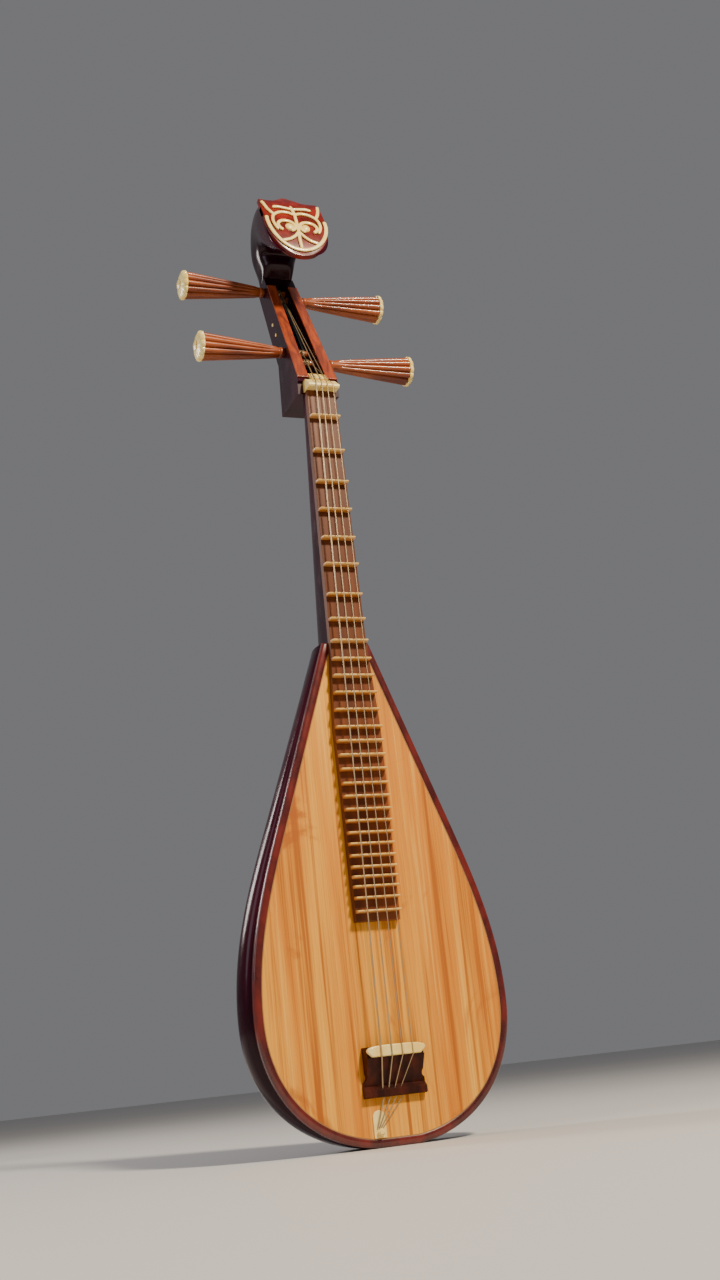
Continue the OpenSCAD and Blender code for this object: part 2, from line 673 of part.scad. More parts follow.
back_shell();
soundboard();
edge_binding();
purfling();
rim_lining();
neck_block();
tail_block();
brace_upper();
brace_middle();
brace_lower();
sound_post();
neck();
fingerboard();
nut();
fret(1);  // neck_fret_1
fret(2);  // neck_fret_2
fret(3);  // neck_fret_3
fret(4);  // neck_fret_4
fret(5);  // neck_fret_5
fret(6);  // neck_fret_6
fret(7);  // neck_fret_7
fret(8);  // neck_fret_8
upper_body_frets();
lower_body_frets();
bridge_block();
bridge_cap();
tail_guard();
hitch_pin();
pegbox();
pegbox_facing_left();
pegbox_facing_right();
pegbox_back_cover();
cover_pins();
cheek_inlays();
head();
head_panel();
head_ornament();
head_eyes();
peg(0);  // peg_1
peg(1);  // peg_2
peg(2);  // peg_3
peg(3);  // peg_4
peg_cap(0);  // peg_cap_1
peg_cap(1);  // peg_cap_2
peg_cap(2);  // peg_cap_3
peg_cap(3);  // peg_cap_4
winding(0);  // winding_1
winding(1);  // winding_2
winding(2);  // winding_3
winding(3);  // winding_4
string(0);  // string_1
string(1);  // string_2
string(2);  // string_3
string(3);  // string_4
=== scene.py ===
import math

import bmesh
import bpy
from mathutils import Matrix, Vector


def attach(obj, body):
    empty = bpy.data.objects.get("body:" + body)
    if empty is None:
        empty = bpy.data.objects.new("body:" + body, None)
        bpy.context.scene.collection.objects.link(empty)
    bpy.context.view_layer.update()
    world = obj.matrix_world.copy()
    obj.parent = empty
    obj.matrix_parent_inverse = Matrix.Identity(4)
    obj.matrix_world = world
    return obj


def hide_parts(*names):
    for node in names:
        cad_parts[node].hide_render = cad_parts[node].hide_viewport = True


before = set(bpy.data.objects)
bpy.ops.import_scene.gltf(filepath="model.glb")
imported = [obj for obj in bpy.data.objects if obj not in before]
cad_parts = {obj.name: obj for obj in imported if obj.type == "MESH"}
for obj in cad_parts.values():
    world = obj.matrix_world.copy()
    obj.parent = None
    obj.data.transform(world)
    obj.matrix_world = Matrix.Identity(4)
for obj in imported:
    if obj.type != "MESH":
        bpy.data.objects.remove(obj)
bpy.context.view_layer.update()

# --- Camera -----------------------------------------------------------------------------
# The view stands low in front of the lute, a little to its left, and looks up along it. A
# small roll makes the lute lean to the right, as it does on its stand.
camera_turn, camera_rise = math.radians(-22.91), math.radians(-16.04)
camera_roll = math.radians(6.33)
camera_target = Vector((0.0091, -0.0485, 0.5102))
camera_distance = 1.589
camera_back = Vector((math.sin(camera_turn) * math.cos(camera_rise),
                      -math.cos(camera_turn) * math.cos(camera_rise), math.sin(camera_rise)))
camera_right = Vector((math.cos(camera_turn), math.sin(camera_turn), 0))
camera_up = camera_back.cross(camera_right)
rolled_right = camera_right * math.cos(camera_roll) - camera_up * math.sin(camera_roll)
rolled_up = camera_right * math.sin(camera_roll) + camera_up * math.cos(camera_roll)
camera_data = bpy.data.cameras.new("camera")
camera_data.sensor_fit = "VERTICAL"
camera_data.sensor_height = 36
camera_data.lens = 42.1875
camera_data.clip_start, camera_data.clip_end = 0.02, 60
camera = bpy.data.objects.new("camera", camera_data)
bpy.context.scene.collection.objects.link(camera)
spot = camera_target + camera_back * camera_distance
camera.matrix_world = Matrix((
    (rolled_right.x, rolled_up.x, camera_back.x, spot.x),
    (rolled_right.y, rolled_up.y, camera_back.y, spot.y),
    (rolled_right.z, rolled_up.z, camera_back.z, spot.z),
    (0, 0, 0, 1)))
bpy.context.scene.camera = camera


# --- Studio -----------------------------------------------------------------------------
# A plain pale floor under soft light: one large lamp high on the right, a wide weak one on
# the left and a smaller one behind, so that the dark lacquer shows long soft highlights.
class Wire:
    """One output of a shader node. Arithmetic on it adds Math nodes."""

    def __init__(self, finish, socket):
        self.finish, self.socket = finish, socket

    def math(self, operation, *values):
        return self.finish.node("ShaderNodeMath", {"operation": operation},
                                dict(enumerate(values)))

    def __add__(self, other): return self.math("ADD", self, other)
    def __radd__(self, other): return self.math("ADD", other, self)
    def __sub__(self, other): return self.math("SUBTRACT", self, other)
    def __rsub__(self, other): return self.math("SUBTRACT", other, self)
    def __mul__(self, other): return self.math("MULTIPLY", self, other)
    def __rmul__(self, other): return self.math("MULTIPLY", other, self)

    def between(self, low, high):
        """0 below low, 1 above high, smooth between them."""
        return self.finish.node("ShaderNodeMapRange", {"interpolation_type": "SMOOTHSTEP"},
                                {"Value": self, "From Min": low, "From Max": high})


class Finish:
    """A material with one Principled surface, built node by node."""

    def __init__(self, name, **surface):
        self.material = bpy.data.materials.new(name)
        self.material.use_nodes = True
        self.tree = self.material.node_tree
        self.surface = self.tree.nodes["Principled BSDF"]
        for socket, value in surface.items():
            self.surface.inputs[socket.replace("_", " ")].default_value = value
        self.place = self.node("ShaderNodeTexCoord", {}, {}, "Object")

    def node(self, kind, settings, sockets, output=0):
        made = self.tree.nodes.new(kind)
        for name, value in settings.items():
            setattr(made, name, value)
        for name, value in sockets.items():
            if isinstance(value, Wire):
                self.tree.links.new(value.socket, made.inputs[name])
            elif isinstance(value, tuple) and made.inputs[name].type == "RGBA":
                made.inputs[name].default_value = (*value, 1)
            else:
                made.inputs[name].default_value = value
        return Wire(self, made.outputs[output])

    def noise(self, stretch, detail=3.0, roughness=0.5, warp=0.0):
        """Noise over the piece, with a chosen number of waves per metre along each axis."""
        where = self.node("ShaderNodeVectorMath", {"operation": "MULTIPLY"},
                          {0: self.place, 1: stretch})
        return self.node("ShaderNodeTexNoise", {}, {
            "Vector": where, "Scale": 1.0, "Detail": detail, "Roughness": roughness,
            "Distortion": warp}, "Fac")

    def mix(self, mask, low, high, blend="MIX"):
        return self.node("ShaderNodeMix", {"data_type": "RGBA", "blend_type": blend},
                         {0: mask, 6: low, 7: high}, 2)

    def feed(self, socket, wire):
        self.tree.links.new(wire.socket, self.surface.inputs[socket])
        return self

    def bump(self, height, strength, depth):
        """Relief from a height; depth is in metres."""
        return self.feed("Normal", self.node("ShaderNodeBump", {}, {
            "Height": height, "Strength": strength, "Distance": depth}))


floor_finish = Finish("studio_floor", Roughness=0.6)
floor_cloud = floor_finish.noise((1.3, 1.3, 1.3), detail=2.0)
floor_finish.feed("Base Color", floor_finish.mix(
    floor_cloud, (0.62, 0.60, 0.58), (0.68, 0.66, 0.64)))
bpy.ops.mesh.primitive_plane_add(size=30, location=(0, 0, 0))
floor = bpy.context.object
floor.name = "studio_floor"
floor.data.materials.append(floor_finish.material)

sky = bpy.data.worlds.new("studio_air")
sky.use_nodes = True
sky.node_tree.nodes["Background"].inputs["Color"].default_value = (0.72, 0.72, 0.75, 1)
sky.node_tree.nodes["Background"].inputs["Strength"].default_value = 0.25
bpy.context.scene.world = sky

for lamp_name, lamp_place, lamp_size, lamp_power, lamp_colour in [
        ("key_lamp", (0.62, -1.8, 2.2), 0.34, 104, (1.0, 0.88, 0.68)),
        ("fill_lamp", (-2.3, -1.0, 1.3), 1.4, 12, (0.86, 0.88, 1.0)),
        ("edge_lamp", (-1.5, 1.3, 1.2), 0.7, 24, (1.0, 0.94, 0.9))]:
    lamp = bpy.data.lights.new(lamp_name, "AREA")
    lamp.shape, lamp.size, lamp.energy, lamp.color = "DISK", lamp_size, lamp_power, lamp_colour
    lamp_object = bpy.data.objects.new(lamp_name, lamp)
    lamp_object.location = lamp_place
    lamp_aim = Vector((0, 0, 0.5)) - Vector(lamp_place)
    lamp_object.rotation_euler = lamp_aim.to_track_quat("-Z", "Y").to_euler()
    bpy.context.scene.collection.objects.link(lamp_object)


# --- Back shell ---------------------------------------------------------------------------
# The bowl is carved from one block of hardwood to an even wall and finished in many coats of
# polished near-black lacquer. The soundboard is glued to its rim and the neck to its top.
body_length, body_half, widest_z = 513, 136, 135
front_y, board_back = -30, -24
shell_wall, shell_bulge, shell_depth, tail_round = 6, 10, 64, 105
shell_depth_top, shell_power, outline_power = 46, 3.4, 2.2
shoulder_half, flank_width, flank_height, flank_pull, widest_pull = 26, 0.636, 0.548, 72, 74


def lerp(a, b, t):
    return a + (b - a) * t


def half_outline(inset):
    """The body's right half from shoulder to bottom flat as (x, z), moved in by an inset."""
    shoulder = (shoulder_half, body_length)
    flank = (body_half * flank_width, lerp(widest_z, body_length, flank_height))
    slope = (flank[0] - shoulder[0]) / (shoulder[1] - flank[1])
    points = [(lerp(shoulder[0], flank[0], k / 14), lerp(shoulder[1], flank[1], k / 14))
              for k in range(14)]
    handles = [flank, (flank[0] + slope * flank_pull, flank[1] - flank_pull),
               (body_half, widest_z + widest_pull), (body_half, widest_z)]
    for k in range(36):
        t = k / 36
        weights = ((1 - t) ** 3, 3 * t * (1 - t) ** 2, 3 * t * t * (1 - t), t ** 3)
        points.append(tuple(sum(w * h[axis] for w, h in zip(weights, handles)) for axis in (0, 1)))
    flat_turn = math.pi / 2 - math.acos((widest_z / (widest_z + 1.2)) ** 1.1)
    for k in range(49):
        a = flat_turn * k / 48
        points.append((body_half * math.cos(a) ** (2 / outline_power),
                       widest_z - (widest_z + 1.2) * math.sin(a) ** (2 / outline_power)))
    last = len(points) - 1
    moved = []
    for k, (x, z) in enumerate(points):
        ahead, behind = points[min(k + 1, last)], points[max(k - 1, 0)]
        run = math.hypot(ahead[0] - behind[0], ahead[1] - behind[1])
        x += (ahead[1] - behind[1]) / run * inset
        z -= (ahead[0] - behind[0]) / run * inset
        level = body_length - inset if k == 0 else inset if k == last else \
            min(max(z, inset), body_length - inset)
        moved.append((max(x, 1), level))
    return moved


def solid(name, points, faces, finish, body="root", crease=32):
    """A mesh from points in millimetres, smooth except along creases, riding on a body."""
    mesh = bpy.data.meshes.new(name)
    mesh.from_pydata([tuple(v * 0.001 for v in p) for p in points], [], faces)
    mesh.materials.append(finish.material)
    mesh.shade_smooth()
    mesh.set_sharp_from_angle(angle=math.radians(crease))
    made = bpy.data.objects.new(name, mesh)
    bpy.context.scene.collection.objects.link(made)
    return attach(made, body)


def skin(rings, closed=True, ends=True):
    """Faces between rings of equal length, with a face on each end."""
    n, faces = len(rings[0]), []
    for j in range(len(rings) - 1):
        for k in range(n if closed else n - 1):
            a, b = j * n + k, j * n + (k + 1) % n
            faces.append((a, b, b + n, a + n))
    if ends:
        faces.append(tuple(range(n - 1, -1, -1)))
        faces.append(tuple(range((len(rings) - 1) * n, len(rings) * n)))
    return faces


def loft(name, ring_sets, finish, body="root", crease=32, closed=True, ends=True):
    """One piece from one or more sets of rings."""
    points, faces = [], []
    for rings in ring_sets:
        start = len(points)
        points += [p for ring in rings for p in ring]
        faces += [tuple(start + v for v in face) for face in skin(rings, closed, ends)]
    return solid(name, points, faces, finish, body, crease)


def shell_depth_at(z):
    if z < tail_round:
        return shell_depth * (0.7 + 0.3 * math.sqrt(1 - (1 - z / tail_round) ** 2))
    rise = (z - tail_round) / (body_length - tail_round)
    return lerp(shell_depth, shell_depth_top, rise ** 1.6)


shell_rings = []
for x, z in half_outline(0)[::-1]:
    depth, ring = shell_depth_at(z), []
    for k in range(65):
        a = math.pi * k / 64
        y = depth * max(math.sin(a), 0) ** (2 / shell_power)
        side = math.copysign(abs(math.cos(a)) ** (2 / shell_power), math.cos(a))
        swell = 1 + shell_bulge / body_half * math.sin(math.pi / 2 * min(1, y / (0.35 * depth)))
        ring.append((x * side * swell, board_back + y, z))
    shell_rings.append(ring)

lacquer = Finish("black_lacquer", Roughness=0.2, Specular_IOR_Level=0.15, Coat_Weight=0.18,
                 Coat_Roughness=0.05, Coat_IOR=1.45)
lacquer_depth = lacquer.noise((9, 9, 5), detail=4.0)
lacquer_wear = lacquer.noise((55, 55, 30), detail=5.0, roughness=0.6)
lacquer.feed("Base Color", lacquer.mix(
    lacquer_depth.between(0.35, 0.7), (0.014, 0.001, 0.005), (0.046, 0.003, 0.012)))
lacquer.feed("Roughness", 0.18 + 0.16 * lacquer_wear.between(0.4, 0.75))
lacquer.bump(lacquer.noise((14, 14, 9), detail=2.0) + 0.04 * lacquer_wear, 0.12, 0.0012)

back_shell = loft("lacquered_back_shell", [shell_rings], lacquer, crease=40, closed=False)
shell_thickness = back_shell.modifiers.new("carved wall", "SOLIDIFY")
shell_thickness.thickness, shell_thickness.offset = shell_wall * 0.001, -1
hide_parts("back_shell")


# --- Pieces inside the body -----------------------------------------------------------------
# Pale sawn wood that is never seen: a lining round the rim, blocks at both ends that take
# the neck's tenon and the stand, three braces under the soundboard and one sound post.
def paint(finish, *nodes):
    """Gives CAD nodes whose shape is right a finish of their own."""
    for node in nodes:
        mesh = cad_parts[node].data
        mesh.materials.clear()
        mesh.materials.append(finish.material)


sawn_wood = Finish("sawn_inside_wood", Roughness=0.75)
sawn_grain = sawn_wood.noise((160, 40, 14), detail=5.0, warp=0.6)
sawn_wood.feed("Base Color", sawn_wood.mix(
    sawn_grain.between(0.3, 0.72), (0.50, 0.31, 0.15), (0.72, 0.52, 0.30)))
sawn_wood.bump(sawn_grain, 0.4, 0.0006)
paint(sawn_wood, "rim_lining", "neck_block", "tail_block", "brace_upper", "brace_middle",
      "brace_lower", "sound_post")


# --- Soundboard -----------------------------------------------------------------------------
# Thin boards of paulownia, planed flat and left almost bare, glued over the bowl. Straight
# grain runs from bottom to shoulder, with darker streaks and stains rubbed in by playing.
board_inset = 9


def face_out(piece, merge=False):
    """Turns every face of a piece outwards, after joining its meeting points if asked."""
    work = bmesh.new()
    work.from_mesh(piece.data)
    if merge:
        bmesh.ops.remove_doubles(work, verts=work.verts, dist=1e-7)
    bmesh.ops.recalc_face_normals(work, faces=work.faces)
    work.to_mesh(piece.data)
    work.free()
    return piece


def slab(name, outline, low_y, high_y, finish):
    """A flat plate with a given outline in x and z."""
    n = len(outline)
    points = [(x, low_y, z) for x, z in outline] + [(x, high_y, z) for x, z in outline]
    faces = [tuple(range(n)), tuple(range(2 * n - 1, n - 1, -1))]
    faces += [(k, k + n, (k + 1) % n + n, (k + 1) % n) for k in range(n)]
    return face_out(solid(name, points, faces, finish))


def eased(piece, edge, segments=3):
    """Rounds a piece's sharp edges, in millimetres."""
    rounding = piece.modifiers.new("eased edges", "BEVEL")
    rounding.width, rounding.segments = edge * 0.001, segments
    rounding.limit_method, rounding.angle_limit = "ANGLE", math.radians(30)
    rounding.use_clamp_overlap = True
    for face in piece.data.polygons:
        face.use_smooth = True
    weights = piece.modifiers.new("even shading", "WEIGHTED_NORMAL")
    weights.keep_sharp = False
    return piece


def full_outline(inset):
    half = half_outline(inset)
    return half + [(-x, z) for x, z in reversed(half)]


paulownia = Finish("soundboard_paulownia", Roughness=0.42, Specular_IOR_Level=0.3)
broad_band = paulownia.noise((26, 1, 1.1), detail=3.0, roughness=0.6, warp=0.5)
narrow_band = paulownia.noise((120, 1, 1.6), detail=4.0, roughness=0.65, warp=0.4)
fibre = paulownia.noise((620, 1, 9), detail=3.0, roughness=0.7)
stain = paulownia.noise((9, 1, 6), detail=5.0, roughness=0.62, warp=1.2)
pore = paulownia.noise((900, 1, 60), detail=2.0)
paulownia_colour = paulownia.mix(
    broad_band.between(0.36, 0.66), (0.86, 0.39, 0.036), (0.68, 0.22, 0.012))
paulownia_colour = paulownia.mix(
    0.85 * narrow_band.between(0.50, 0.66), paulownia_colour, (0.38, 0.09, 0.006))
paulownia_colour = paulownia.mix(
    0.6 * (1 - narrow_band.between(0.32, 0.48)), paulownia_colour, (0.93, 0.50, 0.08))
paulownia_colour = paulownia.mix(
    0.45 * fibre.between(0.45, 0.75), paulownia_colour, (0.38, 0.11, 0.010))
paulownia_colour = paulownia.mix(
    0.75 * stain.between(0.54, 0.66), paulownia_colour, (0.40, 0.09, 0.006))
paulownia.feed("Base Color", paulownia_colour)
paulownia.feed("Roughness", 0.36 + 0.2 * fibre + 0.1 * stain.between(0.5, 0.7))
paulownia.bump(0.5 * fibre + 0.4 * narrow_band - 0.5 * pore.between(0.66, 0.8), 0.35, 0.0005)

soundboard = slab("paulownia_soundboard", full_outline(board_inset), front_y, board_back,
                  paulownia)
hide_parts("soundboard")


# --- Edge binding and inner line --------------------------------------------------------------
# A strip of dark red stained wood is bent round the edge of the soundboard and glued to the
# rim, polished with the shell. A thin brown line is let in between it and the soundboard.
def edge_strip(name, profile, finish):
    """A strip round the whole body. The profile is (inset, y) pairs, closed on itself."""
    loops = [full_outline(inset) for inset, y in profile]
    rings = [[(loops[j][k][0], y, loops[j][k][1]) for j, (inset, y) in enumerate(profile)]
             for k in range(len(loops[0]))]
    rings.append(rings[0])
    return face_out(loft(name, [rings], finish, crease=50, ends=False), merge=True)


red_wood = Finish("binding_red_wood", Roughness=0.24, Coat_Weight=0.5, Coat_Roughness=0.08)
red_streak = red_wood.noise((60, 20, 30), detail=5.0, roughness=0.6)
red_wood.feed("Base Color", red_wood.mix(
    red_streak.between(0.35, 0.7), (0.055, 0.004, 0.003), (0.15, 0.010, 0.004)))
red_wood.feed("Roughness", 0.2 + 0.18 * red_streak)
red_wood.bump(red_streak, 0.2, 0.0004)
binding = edge_strip("red_edge_binding", [
    (8, -24), (8, -30.1), (7.2, -30.5), (5, -30.7), (2.4, -30.5), (1.0, -30.0), (0.3, -29.1),
    (0, -28), (0, -24)], red_wood)
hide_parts("edge_binding")

brown_line = Finish("inner_line_brown", Roughness=0.45)
line_fleck = brown_line.noise((90, 90, 90), detail=3.0)
brown_line.feed("Base Color", brown_line.mix(line_fleck, (0.20, 0.10, 0.03), (0.34, 0.18, 0.06)))
inner_line = edge_strip(
    "brown_inner_line", [(9, -24), (9, -30.05), (8, -30.12), (8, -24)], brown_line)
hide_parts("purfling")


# --- Neck -----------------------------------------------------------------------------------
# One piece of hardwood, flat in front and round behind, lacquered with the shell. Its tenon
# is glued into the block at the top of the body.
nut_z, bridge_z, string_length = 805, 93, 712
fret_share = [0.954, 0.896, 0.844, 0.798, 0.752, 0.709, 0.661, 0.622, 0.588, 0.560, 0.534,
              0.508, 0.482, 0.456, 0.435, 0.414, 0.393, 0.372, 0.353, 0.334, 0.317, 0.300, 0.284,
              0.267, 0.251, 0.237, 0.223, 0.207, 0.188]
fret_z = [bridge_z + string_length * share for share in fret_share]
heel_z, board_end_z = nut_z - string_length * 0.545, fret_z[-1] - 10
neck_top, neck_depth_low, neck_depth_high, neck_power = nut_z - 2, 50, 16, 0.62
end_width, heel_width, neck_width, nut_width = 48, 52, 41, 34


def finger_half(z):
    """Half width of the fingerboard at a height: widest where it reaches the body."""
    marks = [(board_end_z, end_width), (heel_z, heel_width), (body_length, neck_width),
             (nut_z, nut_width)]
    for (low, narrow), (high, wide) in zip(marks, marks[1:]):
        if z <= high:
            return lerp(narrow, wide, (z - low) / (high - low)) / 2


neck_rings = []
for j in range(33):
    t = j / 32
    z = lerp(body_length + 0.1, neck_top, t)
    half, depth, ring = finger_half(z) - 0.4, lerp(neck_depth_low, neck_depth_high, t), []
    for k in range(41):
        a = math.pi * k / 40
        ring.append((half * math.copysign(abs(math.cos(a)) ** neck_power, math.cos(a)),
                     front_y + depth * max(math.sin(a), 0) ** neck_power, z))
    neck_rings.append(ring)
neck = loft("lacquered_neck", [neck_rings], lacquer, crease=40)
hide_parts("neck")


# --- Fingerboard ------------------------------------------------------------------------------
# A hardwood strip glued on the neck and on over the soundboard. It carries all 29 frets and
# is oiled, not lacquered.
finger_y = -38
finger_wood = Finish("fingerboard_hardwood", Roughness=0.4, Specular_IOR_Level=0.25)
finger_grain = finger_wood.noise((210, 60, 8), detail=5.0, roughness=0.65, warp=0.5)
finger_band = finger_wood.noise((60, 20, 2), detail=3.0)
finger_colour = finger_wood.mix(
    finger_band.between(0.35, 0.7), (0.10, 0.026, 0.007), (0.23, 0.064, 0.015))
finger_wood.feed("Base Color", finger_wood.mix(
    0.6 * finger_grain.between(0.5, 0.75), finger_colour, (0.07, 0.02, 0.01)))
finger_wood.feed("Roughness", 0.3 + 0.25 * finger_grain)
finger_wood.bump(finger_grain, 0.3, 0.0004)
board_edge = [(finger_half(z), z) for z in (board_end_z, heel_z, body_length, nut_z)]
fingerboard = eased(slab("fingerboard", board_edge + [(-x, z) for x, z in reversed(board_edge)],
                         finger_y, front_y, finger_wood), 0.5)
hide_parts("fingerboard")


# --- Frets ----------------------------------------------------------------------------------
# Each fret is a blade of bamboo, tapered from foot to crown, rounded at both ends and glued
# across the fingerboard where its note sounds true. Its colour carries painted light and shade:
# a pale gold crown, darkening towards the foot where the blade meets the board.
fret_height, fret_foot, fret_crown = 8.4, 3.6, 1.7


def fret_row(name, first, last, *nodes):
    blades = []
    for number in range(first, last + 1):
        middle = fret_z[number - 1]
        reach = finger_half(middle) - 0.2
        profile = [(0, -fret_foot / 2), (0.55, -fret_crown / 2 - 0.42),
                   (0.88, -fret_crown / 2 - 0.05), (0.965, -fret_crown * 0.36),
                   (1, -fret_crown * 0.12)]
        profile += [(up, -out) for up, out in reversed(profile)]
        sections = [(reach, 0.72, 0.80), (reach - 0.35, 0.9, 0.93), (reach - 1.0, 1.0, 1.0)]
        sections += [(-x, wide, tall) for x, wide, tall in reversed(sections)]
        blades.append([[(x, finger_y - up * tall * fret_height, middle + out * wide)
                        for up, out in profile] for x, wide, tall in sections])
    made = face_out(loft(name, blades, bamboo, crease=45))
    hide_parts(*nodes)


bamboo = Finish("fret_bamboo", Roughness=0.3, Coat_Weight=0.25, Coat_Roughness=0.15)
painted_shade_rise = bamboo.node("ShaderNodeSeparateXYZ", {}, {0: bamboo.place}, 1)
bamboo_fibre = bamboo.noise((40, 500, 900), detail=3.0)
bamboo_tone = bamboo.noise((8, 8, 31), detail=2.0)
# Painted light and shade: pale gold on the crown, going to dark orange towards the foot where the
# blade meets the board.
bamboo_colour_and_shade = bamboo.mix(
    painted_shade_rise.between(-0.0462, -0.0405), (0.88, 0.53, 0.14), (0.44, 0.14, 0.02))
bamboo_colour_and_shade = bamboo.mix(
    0.35 * bamboo_fibre.between(0.45, 0.75), bamboo_colour_and_shade, (0.46, 0.19, 0.045))
bamboo.feed("Base Color", bamboo.mix(
    0.3 * bamboo_tone.between(0.4, 0.7), bamboo_colour_and_shade, (0.93, 0.66, 0.26)))
bamboo.feed("Roughness", 0.22 + 0.25 * bamboo_fibre)
bamboo.bump(bamboo_fibre, 0.25, 0.0003)
fret_row("neck_frets", 1, 8, *[f"neck_fret_{k}" for k in range(1, 9)])
fret_row("upper_frets", 9, 14, "upper_body_frets")
fret_row("lower_frets", 15, 29, "lower_body_frets")


# --- Nut --------------------------------------------------------------------------------------
# A wedge of polished bone glued between fingerboard and peg box. Four filed grooves at its
# crest hold the strings apart.
string_y = front_y - 19.5
box_lean, box_y, box_z = 26.8, -34.8, 819
lean_cos, lean_sin = math.cos(math.radians(box_lean)), math.sin(math.radians(box_lean))


def from_box(x, v, w):
    """A point of the leaning peg box: v runs back into it and w runs up along it."""
    return (x, box_y + v * lean_cos + w * lean_sin, box_z - v * lean_sin + w * lean_cos)


bone = Finish("polished_bone", Roughness=0.3, Subsurface_Weight=0.12, Coat_Weight=0.35,
              Coat_Roughness=0.1)
bone.surface.inputs["Subsurface Radius"].default_value = (0.004, 0.0025, 0.0012)
bone_cloud = bone.noise((70, 70, 45), detail=4.0)
bone_vein = bone.noise((300, 300, 60), detail=4.0, roughness=0.7)
bone_colour = bone.mix(bone_cloud.between(0.35, 0.7), (0.95, 0.66, 0.17), (1.0, 0.82, 0.33))
bone.feed("Base Color", bone.mix(
    0.4 * bone_vein.between(0.55, 0.75), bone_colour, (0.60, 0.33, 0.08)))
bone.feed("Roughness", 0.24 + 0.2 * bone_vein)
bone.bump(bone_vein, 0.18, 0.0003)

nut_seat = from_box(0, 2, 0)
nut_side = [(front_y, nut_z + 0.1), (string_y + 1.4, nut_z + 0.1), (string_y, nut_z + 1.6),
            (string_y, nut_z + 3.4), (nut_seat[1] - 5, nut_seat[2] - 0.1),
            (nut_seat[1], nut_seat[2] - 0.1), (front_y, nut_seat[2] - 1.1)]
nut_rings = []
nut_groove_r, nut_spacing = 0.9, 6.6
for k in range(181):
    x = lerp(-18, 18, k / 180)
    nearest = min(abs(x - (row - 1.5) * nut_spacing) for row in range(4))
    cut = math.sqrt(max(nut_groove_r ** 2 - nearest ** 2, 0))
    nut_rings.append([(x, y + (cut if 2 <= corner <= 3 else 0), z)
                      for corner, (y, z) in enumerate(nut_side)])
tongue_side = [(2, 0.2), (-3.2, 0.2), (-1.6, 6), (0.4, 13), (2, 14.5)]
tongue_rings = [[from_box(x, v, w) for v, w in tongue_side] for x in (-10, -9.5, 0, 9.5, 10)]
nut = loft("bone_nut", [nut_rings, tongue_rings], bone)
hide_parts("nut")


# --- Bridge -----------------------------------------------------------------------------------
# A block of blackened wood glued low on the soundboard, hollowed at both sides, with a bone
# cap let into its upper edge. The strings cross the cap and go down into holes in its foot.
cap_front, cap_low = string_y + 0.9, bridge_z - 8
foot_z, foot_y, foot_lip = bridge_z - 46, front_y - 4, 7
dark_wood = Finish("blackened_bridge_wood", Roughness=0.4, Specular_IOR_Level=0.2)
dark_grain = dark_wood.noise((90, 90, 22), detail=5.0, roughness=0.6)
dark_wood.feed("Base Color", dark_wood.mix(
    dark_grain.between(0.35, 0.7), (0.022, 0.003, 0.001), (0.075, 0.011, 0.003)))
dark_wood.feed("Roughness", 0.3 + 0.3 * dark_grain)
dark_wood.bump(dark_grain, 0.3, 0.0006)


def cad_copy(node, name, finish, edge, segments=3):
    """A new piece with a CAD node's shape, its flat faces whole and its sharp edges eased."""
    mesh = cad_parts[node].data.copy()
    mesh.name = name
    work = bmesh.new()
    work.from_mesh(mesh)
    bmesh.ops.remove_doubles(work, verts=work.verts, dist=2e-6)
    bmesh.ops.dissolve_limit(work, angle_limit=math.radians(1), verts=work.verts, edges=work.edges)
    work.to_mesh(mesh)
    work.free()
    mesh.materials.clear()
    mesh.materials.append(finish.material)
    copy = bpy.data.objects.new(name, mesh)
    bpy.context.scene.collection.objects.link(copy)
    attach(copy, "root")
    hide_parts(node)
    return eased(copy, edge, segments)


bridge_block = cad_copy("bridge_block", "blackened_bridge_block", dark_wood, 0.7)
bridge_cap = cad_copy("bridge_cap", "bone_bridge_cap", bone, 1.4, segments=4)


# --- Tail guard and hitch pin -------------------------------------------------------------------
# A thin arch of bone glued to the soundboard below the bridge keeps the strings' ends off
# the wood. A bone pin through it holds them.
tail_guard = cad_copy("tail_guard", "bone_tail_guard", bone, 0.4)
paint(bone, "hitch_pin")


# --- Peg box --------------------------------------------------------------------------------
# The peg box is carved with the heel of the neck and leans back from it. Rosewood facings
# are glued on the front of both cheeks, and a cover with bone pins closes it behind.
paint(lacquer, "pegbox_back_cover")
paint(bone, "cover_pins", "cheek_inlays")
pegbox = cad_copy("pegbox", "lacquered_peg_box", lacquer, 0.8)

rosewood = Finish("rosewood_facing", Roughness=0.28, Coat_Weight=0.5, Coat_Roughness=0.12)
rose_band = rosewood.noise((120, 60, 7), detail=5.0, roughness=0.6, warp=0.8)
rose_pore = rosewood.noise((700, 300, 60), detail=2.0)
rose_colour = rosewood.mix(
    rose_band.between(0.34, 0.7), (0.38, 0.060, 0.011), (0.13, 0.016, 0.005))
rosewood.feed("Base Color", rosewood.mix(
    0.5 * rose_pore.between(0.6, 0.75), rose_colour, (0.04, 0.008, 0.005)))
rosewood.feed("Roughness", 0.24 + 0.2 * rose_band)
rosewood.bump(rose_band - 0.5 * rose_pore, 0.2, 0.0004)
for side in ("left", "right"):
    facing = cad_copy(f"pegbox_facing_{side}", f"rosewood_facing_{side}", rosewood, 0.6)


# --- Head -----------------------------------------------------------------------------------
# The head grows out of the peg box as a hook that curls forward and widens to a broad face.
# It is carved from the same block and lacquered.
peg_depth, box_length, head_power = 15, 205, 3.2
box_end = from_box(0, peg_depth, box_length + 0.1)
head_path = [  # depth, height, half width, half thickness, lean of the section
    (box_end[1], box_end[2], 18.5, 13, -box_lean),
    (66, 1010, 20, 20, -8),
    (67, 1031, 25, 23, 12),
    (55, 1046, 29, 30, 42),
    (36, 1049, 33, 36, 64),
    (13, 1042, 36.5, 42, 75),
    (-11.5, 1029, 38.5, 46.5, 74.5)]


